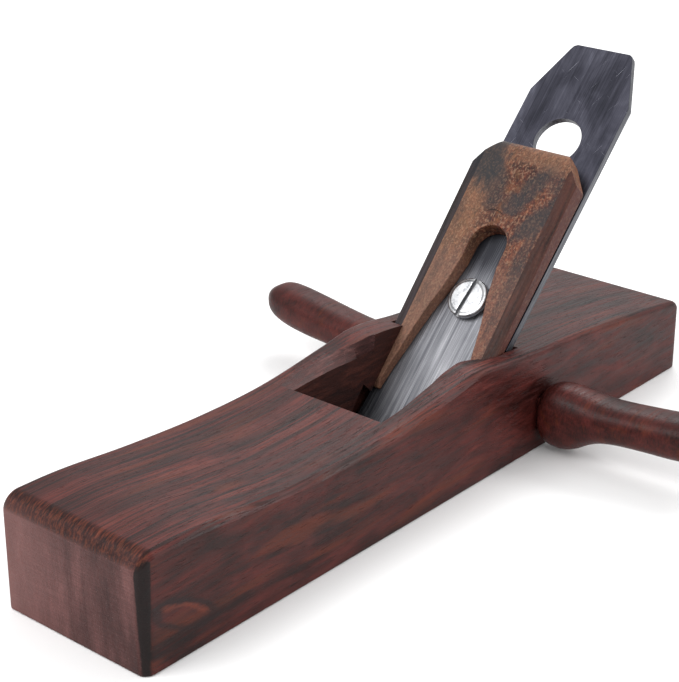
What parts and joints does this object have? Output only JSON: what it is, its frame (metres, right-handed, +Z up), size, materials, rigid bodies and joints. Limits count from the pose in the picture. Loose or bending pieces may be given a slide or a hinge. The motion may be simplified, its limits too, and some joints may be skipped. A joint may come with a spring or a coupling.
{
  "type": "hand plane",
  "caption": "Wooden bench plane with a humped body, a slotted wedge, a keyhole iron with cap iron and screw, and a carved handle on each side",
  "frame": {"origin": "on the sole, under the middle of the body, on its centre plane", "axes": "+X to the toe (front), +Z up, +Y to the right-hand side of a person who looks from the toe to the heel"},
  "size_m": [0.3, 0.2204, 0.1306],
  "materials": {
    "rosewood": "dark reddish-brown rosewood, thin oil finish, satin",
    "wedge_wood": "bare brown hardwood with dark stain, speckled pores",
    "iron_steel": "dark blue-grey steel, fine grinding lines and scratches",
    "edge_steel": "bright ground steel",
    "cap_steel": "bright steel brushed along its length",
    "plated_screw": "bright plated steel"
  },
  "bodies": {
    "stock": {"body": "rosewood", "handle_right": "rosewood", "handle_left": "rosewood"},
    "iron": {"iron": "iron_steel", "edge_steel": "edge_steel"},
    "wedge": {"wedge": "wedge_wood"},
    "cap": {"cap_iron": "cap_steel"},
    "screw": {"cap_screw": "plated_screw"},
    "nut": {"cap_nut": "plated_screw"}
  },
  "joints": [
    {"name": "iron_slide", "type": "slide", "parent": "stock", "child": "iron", "axis": [-0.7022, 0, 0.712], "range_m": [-0.0012, 0.185]},
    {"name": "cap_slide", "type": "slide", "parent": "iron", "child": "cap", "axis": [-0.7022, 0, 0.712], "range_m": [-0.0012, 0.016]},
    {"name": "wedge_slide", "type": "slide", "parent": "cap", "child": "wedge", "axis": [-0.7022, 0, 0.712], "range_m": [0, 0.13]},
    {"name": "screw_turn", "type": "hinge", "parent": "cap", "child": "screw", "pos_m": [-0.05045, 0, 0.04984], "axis": [0.712, 0, 0.7022], "range_deg": [0, 540]},
    {"name": "nut_travel", "type": "slide", "parent": "cap", "child": "nut", "axis": [-0.712, 0, -0.7022], "range_m": [0, 0.0019]}
  ],
  "couplings": [
    {"joint": "nut_travel", "follows": "screw_turn", "m_per_rad": 0.00019894}
  ]
}
